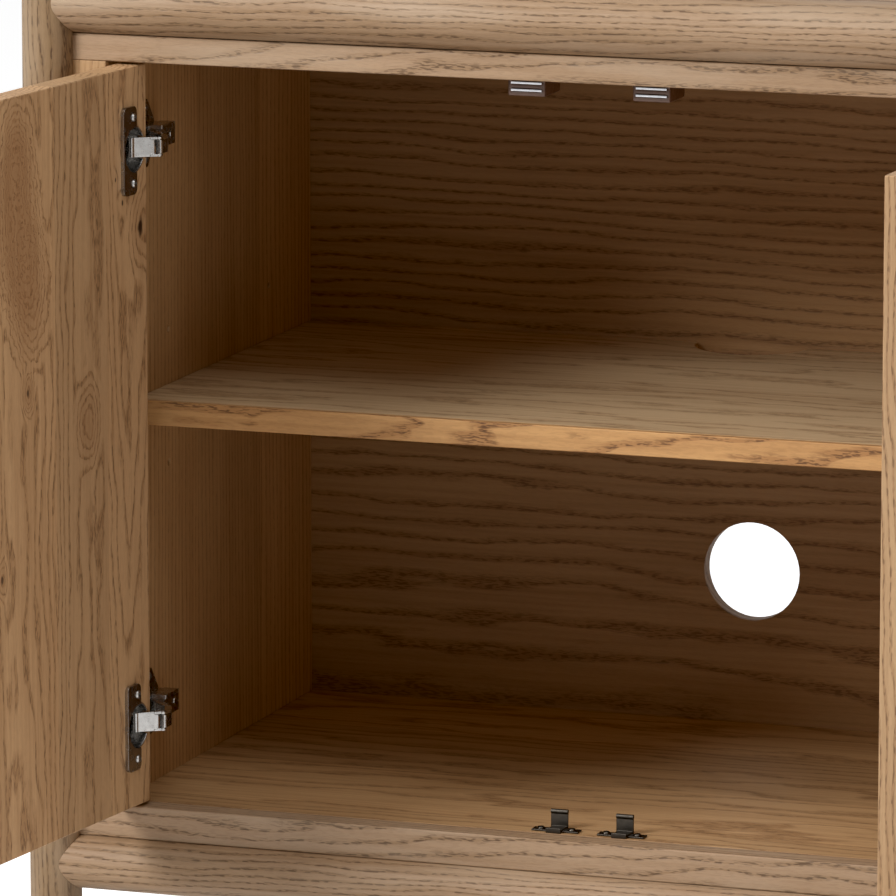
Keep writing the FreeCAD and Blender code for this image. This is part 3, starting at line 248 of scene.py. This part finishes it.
# Flat rails: square oak strips set back under the top rail and over the bottom rail, with just
# the sharpness sanded off. They frame the opening that the doors close.
HAND_EASED = 0.0012
flat_oak = oak("weathered_oak_flat_rails", X, Z, origin=(0, 0.11, 0.41), **WEATHERED)
for node in ("front_top_flat", "front_bottom_flat"):
    eased(node, HAND_EASED, flat_oak)
for node in ("left_top_flat", "right_top_flat", "left_bottom_flat", "right_bottom_flat"):
    eased(node, HAND_EASED, side_rail_oak)

# Carcass panels: oak veneer on a board core, lacquered thinly. The sides run upright in fine
# straight grain, the ceiling and the bottom run across, and the back runs across with broad figure.
VENEER = dict(pale="b9946a", warm="8a6440", deep="45290f")
side_oak = oak("oak_veneer_sides", Z, Y, board=0.13, ring=0.0042, tilt=0.01, figure=0.45, pores=0.35,
               aside=0.3, wander=0.006, **VENEER)
deck_oak = oak("oak_veneer_decks", X, Y, board=0.13, ring=0.006, tilt=0.02, figure=0.6, pores=0.45,
               aside=0.05, **VENEER)
# the back's grain runs a few degrees off level, in one wide sheet
# its colours are the veneer's made darker: painted shade for the deep back of the cabinet
back_oak = oak("oak_veneer_back", (1, 0, -0.07), Z, board=0.9, ring=0.0085, tilt=0.01, figure=0.62,
               pores=0.45, aside=0.25, wander=0.020, origin=(0, 0, -0.1), pale="a37e55", warm="765232",
               deep="3e240c")
top_oak = oak("weathered_oak_top", X, Y, origin=(0, -0.5, 0), **{**WEATHERED, "board": 0.12})
for node, material in (("left_side_panel", side_oak), ("right_side_panel", side_oak),
                       ("ceiling_panel", deck_oak), ("bottom_panel", deck_oak)):
    eased(node, SANDED, material)
eased("back_panel", 0.001, back_oak)
eased("top_panel", 0.001, top_oak)

# Shelf: a veneered board with a solid oak strip glued along its front edge, resting on steel
# wires in kerfs. The strip shows more colour and coarser pores than the veneer.
SHELF = dict(pale="c9ad88", warm="9e7b56", deep="523519")
shelf_oak = oak("oak_veneer_shelf", X, Y, board=0.15, ring=0.0055, tilt=0.02, figure=0.5, pores=0.45,
                origin=(0.3, 0.33, 0.2), **SHELF)
nosing_oak = oak("oak_lipping", X, Z, board=0.5, figure=0.9, pores=0.8, origin=(0.2, 0, 0.2),
                 pale="c0935f", warm="8a5c34", deep="4a2c14")
eased("shelf", SANDED, shelf_oak)
eased("shelf_nosing", 0.001, nosing_oak)

# Doors: glued up from upright oak boards and lacquered thinly, with knots left in. The edges
# are eased by hand. They stand open, so each has its own way along its width and into the cabinet.
hinge_line = Vector((0.3475, -0.0431, 0))
left_open, right_open = radians(96.3), radians(88)
left_way = Vector((cos(left_open), -sin(left_open), 0))
right_way = Vector((-cos(right_open), -sin(right_open), 0))
left_in = Vector((sin(left_open), cos(left_open), 0))
right_in = Vector((-sin(right_open), cos(right_open), 0))
DOOR = dict(pale="bd9870", warm="916a45", deep="4b2f19", board=0.077, ring=0.0042, tilt=0.05, figure=0.7,
            pores=0.6, boards=0.12)
# one open knot and small ones near the hinge edge, and blind ones that only bend the grain
KNOTS = ((0.628, 0.025, 0.0060, 1.0, 0.012), (0.649, 0.052, 0.0022, 0.9, 0.004),
         (0.667, 0.062, 0.0016, 0.9, 0.003), (0.533, 0.195, 0.0030, 0.8, 0.020),
         (0.406, 0.235, 0.0028, 0.8, 0.012), (0.498, 0.106, 0.0060, 0.0, 0.018),
         (0.657, 0.210, 0.0110, 0.0, 0.035), (0.708, 0.209, 0.0080, 0.0, 0.025),
         (0.606, 0.193, 0.0100, 0.0, 0.030))
# the left door's boards are counted from this far behind its hinge line
BOARD_START = 0.0236
left_hinge_line = Vector((-hinge_line.x, hinge_line.y, 0))
left_oak = oak("oak_boards_left_door", Z, left_way, knots=KNOTS,
               origin=left_hinge_line - BOARD_START * left_way, **DOOR)
right_oak = oak("oak_boards_right_door", Z, right_way, origin=hinge_line, **DOOR)
eased("left_door", HAND_EASED, left_oak)
eased("right_door", HAND_EASED, right_oak)

# Knobs: small oak knobs turned between centres and oiled, which leaves them a little darker than
# the doors. One screw from inside the door holds each.
knob_oak = oak("oiled_oak_knobs", Y, X, pale="b08a5e", warm="855f3a", deep="4b2f19", board=0.5,
               ring=0.0035, origin=(0.2, 0, 0.2))
for node in ("left_knob", "right_knob"):
    eased(node, 0.0006, knob_oak, sharp=24)


# Hinges: pressed steel, nickel plated and barrelled, so the flats are bright and a little
# clouded and the folds are rounded. Cups, flanges and links ride on the doors and the arms.
def metal(name, colour, rough, metallic=1.0, spread=0.07, grain=0.12):
    """A plated, blackened or moulded surface, with clouded gloss, fine grain and a drifting tone."""
    material = bpy.data.materials.new(name)
    material.use_nodes = True
    tree = material.node_tree
    tree.nodes.clear()
    place = add(tree, "TexCoord", output="Object")
    # grain 0.7 mm across, coarser than the real finish so that it shows, and clouds of 5 mm
    grit = add(tree, "TexNoise", {"Vector": place, "Scale": 1400.0, "Detail": 2.0})
    cloud = add(tree, "TexNoise", {"Vector": place, "Scale": 220.0, "Detail": 3.0})
    gloss = add(tree, "MapRange", {0: cloud, 1: 0.3, 2: 0.7, 3: rough - spread, 4: rough + spread})
    tint = add(tree, "MapRange", {0: cloud, 1: 0.3, 2: 0.7, 3: 1.08, 4: 0.86})
    paint = add(tree, "VectorMath", {0: linear(colour)[:3], 3: tint}, operation="SCALE")
    bump = add(tree, "Bump", {"Strength": grain, "Distance": 0.0001, "Height": grit})
    surface = add(tree, "BsdfPrincipled", {"Base Color": paint, "Roughness": gloss, "Metallic": metallic,
                                           "Normal": bump})
    add(tree, "OutputMaterial", {"Surface": surface})
    return material


nickel = metal("nickel_plated_steel", "a9a7a4", 0.24, grain=0.06)
FOLD = 0.0005
for node in ("hinge_arms", "mounting_plates", "left_outer_links", "right_outer_links",
             "left_inner_links", "right_inner_links", "adjusting_screws"):
    eased(node, FOLD, nickel, segments=2)
# each cup's flange has round corners and a rim that is turned over
CUP_RADIUS, MOUTH_RADIUS, FLANGE_LENGTH = 0.0175, 0.0163, 0.064
CORNER_ROUND, RIM_ROUND, LIP_ROUND = 0.0045, 0.0012, 0.0003
TOUCH = 1e-5
for node, way, inward in (("left_hinge_cups", left_way, left_in),
                          ("right_hinge_cups", right_way, right_in)):
    corners = [v.co for v in frame["nodes"][node].data.vertices]
    low, high = min(c.z for c in corners), max(c.z for c in corners)
    top = max(c.dot(inward) for c in corners)
    axis = min(c.dot(way) for c in corners) + CUP_RADIUS
    ends = (low, low + FLANGE_LENGTH, high - FLANGE_LENGTH, high)
    levels = (low + FLANGE_LENGTH / 2, high - FLANGE_LENGTH / 2)

    def corner_edge(edge):
        """Whether the edge is one of the short upright ones at a flange's four corners."""
        a, b = (v.co for v in edge.verts)
        at_end = any(abs(a.z - end) < TOUCH for end in ends)
        return at_end and abs((a - b).normalized().dot(inward)) > 0.99

    def rim_edge(edge):
        """Whether the edge is on the flange's outline, on top, and not on the cup's mouth."""
        a, b = (v.co for v in edge.verts)
        level = min(levels, key=lambda z: abs(z - a.z))
        out = max(Vector((c.dot(way) - axis, c.z - level)).length for c in (a, b))
        return (min(a.dot(inward), b.dot(inward)) > top - TOUCH and out > MOUTH_RADIUS + 0.0005
                and edge.calc_face_angle(0) > radians(20))

    eased(node, LIP_ROUND, nickel, segments=2,
          rounds=((corner_edge, CORNER_ROUND), (rim_edge, RIM_ROUND)))


# Screws: zinc-plated pan heads with a pressed cross recess, in the hinge flanges, the plates,
# the catches and the clips; countersunk ones behind; one behind each knob.
def recessed(node, material, way_out, span=0.0036, slit=0.0009, deep=0.0010):
    """The eased screws of one node with a cross pressed in each head, on the side that faces out."""
    piece = eased(node, 0.0003, material, segments=2)
    bm = bmesh.new()
    bm.from_mesh(piece.data)
    met = set()
    tips = []
    for start in bm.verts:
        if start in met:
            continue
        # one screw is all that hangs together with this vertex
        screw, waiting = [], [start]
        met.add(start)
        while waiting:
            vert = waiting.pop()
            screw.append(vert.co)
            beside = [e.other_vert(vert) for e in vert.link_edges]
            waiting += [v for v in beside if v not in met]
            met.update(beside)
        out = Vector(way_out(sum(screw, Vector()) / len(screw)))
        reach = max(co.dot(out) for co in screw)
        head = [co for co in screw if co.dot(out) > reach - 0.0002]
        tips.append((sum(head, Vector()) / len(head), out))
    bm.free()
    cutter_mesh = bpy.data.meshes.new(node + "_crosses")
    bm = bmesh.new()
    for tip, out in tips:
        stand = Matrix.Translation(tip) @ out.to_track_quat("Z", "Y").to_matrix().to_4x4()
        for size in ((span, slit, 2 * deep), (slit, span, 2 * deep)):
            bmesh.ops.create_cube(bm, size=1, matrix=stand @ Matrix.Diagonal((*size, 1)))
    bm.to_mesh(cutter_mesh)
    bm.free()
    cutter = bpy.data.objects.new(node + "_crosses", cutter_mesh)
    bpy.context.scene.collection.objects.link(cutter)
    press = piece.modifiers.new("press", "BOOLEAN")
    press.object = cutter
    press.operation = "DIFFERENCE"
    press.solver = "EXACT"
    press.use_self = True
    shown = piece.evaluated_get(bpy.context.evaluated_depsgraph_get())
    pressed = bpy.data.meshes.new_from_object(shown)
    piece.modifiers.clear()
    piece.data = pressed
    bpy.data.objects.remove(cutter)
    return piece


steel = metal("zinc_plated_steel", "a5a3a0", 0.3)
recessed("left_cup_screws", steel, lambda middle: left_in)
recessed("right_cup_screws", steel, lambda middle: right_in)
recessed("left_knob_screw", steel, lambda middle: left_in)
recessed("right_knob_screw", steel, lambda middle: right_in)
recessed("back_screws", steel, lambda middle: Y)
# the catches' screws point down from the ceiling, the clips' stand on the bottom and the mounting
# plates' point to the middle
CEILING_SCREWS, BOTTOM_SCREWS = 0.735, 0.22


def way_of_fixing(middle):
    """The way a carcass screw's head faces, from the screw's middle."""
    if middle.z > CEILING_SCREWS:
        return (0, 0, -1)
    if middle.z < BOTTOM_SCREWS:
        return Z
    return (1 if middle.x < 0 else -1, 0, 0)


fixings = recessed("hardware_screws", steel, way_of_fixing)

# Catches: brown moulded ABS housings screwed under the ceiling, with two bright pole plates
# round a ferrite magnet, and a steel disc in each door.
plastic = metal("brown_abs", "5d4335", 0.36, metallic=0.0, grain=0.2)
poles_steel = metal("bright_pole_steel", "c9c9cc", 0.2)
eased("catch_housings", 0.0012, plastic)
eased("catch_poles", 0.0002, poles_steel, segments=2)
for node in ("left_strike_plate", "right_strike_plate"):
    eased(node, 0.0003, steel, segments=2)

# Stop clips: folded spring steel, blackened and oiled, so it is nearly black with a soft shine.
# Two screws hold each to the bottom, behind where the doors meet.
black = metal("blackened_steel", "4a453f", 0.36)
eased("stop_clips", 0.0004, black, segments=2)
# the screws of the clips and the catches are blackened too
fixings.data.materials.append(black)
for face in fixings.data.polygons:
    face.material_index = 0 if BOTTOM_SCREWS <= face.center.z <= CEILING_SCREWS else 1

# Shelf wires, glides and what is out of sight: zinc wire, turned nylon, beech dowels and bearers,
# steel pins and ferrite magnets.
nylon = metal("turned_nylon", "cfc9bf", 0.5, metallic=0.0)
# beech has short rings and hardly any open pores
beech = oak("beech_bearers", Y, X, pale="cfae84", warm="b8935f", deep="8b6a42", figure=0.3, pores=0.2)
ferrite = metal("sintered_ferrite", "2c2b2b", 0.6, metallic=0.0)
eased("leg_glides", 0.001, nylon)
eased("top_bearers", 0.001, beech)
for node, material in (("rail_dowels", beech), ("deck_dowels", beech), ("hinge_pins", steel),
                       ("shelf_wires", steel), ("catch_magnets", ferrite)):
    for held in frame["nodes"][node].material_slots:
        held.material = material

# Stage: a wide matt white floor in a white room. The floor glows a little for the camera, so it
# stays white away from the lamps, and polished metal mirrors it and the walls.
FLOOR_REACH = 30
bm = bmesh.new()
bmesh.ops.create_grid(bm, x_segments=1, y_segments=1, size=FLOOR_REACH)
floor_mesh = bpy.data.meshes.new("floor")
bm.to_mesh(floor_mesh)
bm.free()
floor = bpy.data.objects.new("floor", floor_mesh)
bpy.context.scene.collection.objects.link(floor)
pale = bpy.data.materials.new("pale_floor")
pale.use_nodes = True
tree = pale.node_tree
tree.nodes.clear()
matt = add(tree, "BsdfDiffuse", {"Color": (0.9, 0.9, 0.9, 1)})
path = add(tree, "LightPath").node.outputs
mirrored = add(tree, "Math", {0: path["Is Glossy Ray"], 1: 0.5}, operation="MULTIPLY")
bright = add(tree, "Math", {0: path["Is Camera Ray"], 1: 0.75, 2: mirrored}, operation="MULTIPLY_ADD")
lit = add(tree, "AddShader", {0: matt, 1: add(tree, "Emission", {"Strength": bright})})
add(tree, "OutputMaterial", {"Surface": lit})
floor_mesh.materials.append(pale)

# the room lights softly, and is brighter where the camera or a mirror sees it
world = bpy.data.worlds.new("white_room")
bpy.context.scene.world = world
world.use_nodes = True
tree = world.node_tree
tree.nodes.clear()
path = add(tree, "LightPath").node.outputs
mirrored = add(tree, "Math", {0: path["Is Glossy Ray"], 1: 0.6, 2: 0.2}, operation="MULTIPLY_ADD")
bright = add(tree, "Math", {0: path["Is Camera Ray"], 1: 1.1, 2: mirrored}, operation="MULTIPLY_ADD")
room = add(tree, "Background", {"Color": (1, 1, 1, 1), "Strength": bright})
add(tree, "OutputWorld", {"Surface": room})


# Lamps: three soft boxes, a key in front on the left, one overhead, and a weak one on the right
# that fills the inside of the left door. Sizes are in metres and powers in watts.
def softbox(name, place, aim, size, power):
    """A flat lamp of a width and a height, turned from its place to its aim."""
    data = bpy.data.lights.new(name, "AREA")
    data.shape = "RECTANGLE"
    data.size, data.size_y = size
    data.energy = power
    lamp = bpy.data.objects.new(name, data)
    lamp.location = place
    lamp.rotation_euler = (Vector(aim) - Vector(place)).to_track_quat("-Z", "Y").to_euler()
    bpy.context.scene.collection.objects.link(lamp)


softbox("key", (-2.4, -3.0, 2.6), (0, 0, 0.45), (1.3, 1.3), 157)
softbox("overhead", (0.2, -1.0, 3.0), (0, 0.1, 0.5), (2.4, 1.6), 32)
softbox("right_fill", (4.0, -1.6, 1.2), (-0.35, -0.2, 0.5), (1.6, 1.6), 32)

# Camera: a long lens a good five metres away, front right and a little above, looking into the
# open cabinet.
TURNED_LEFT, LOOKING_DOWN = radians(19.38), radians(10.44)
camera = bpy.data.objects.new("camera", bpy.data.cameras.new("camera"))
camera.data.lens = 310.9
camera.location = (1.70546, -5.17543, 1.48205)
camera.rotation_euler = (radians(90) - LOOKING_DOWN, 0, TURNED_LEFT)
camera.data.clip_end = 100
bpy.context.scene.collection.objects.link(camera)
bpy.context.scene.camera = camera
view = bpy.context.scene.view_settings
view.view_transform = "Standard"
view.use_curve_mapping = True
view.curve_mapping.black_level = (0.004, 0.004, 0.004)
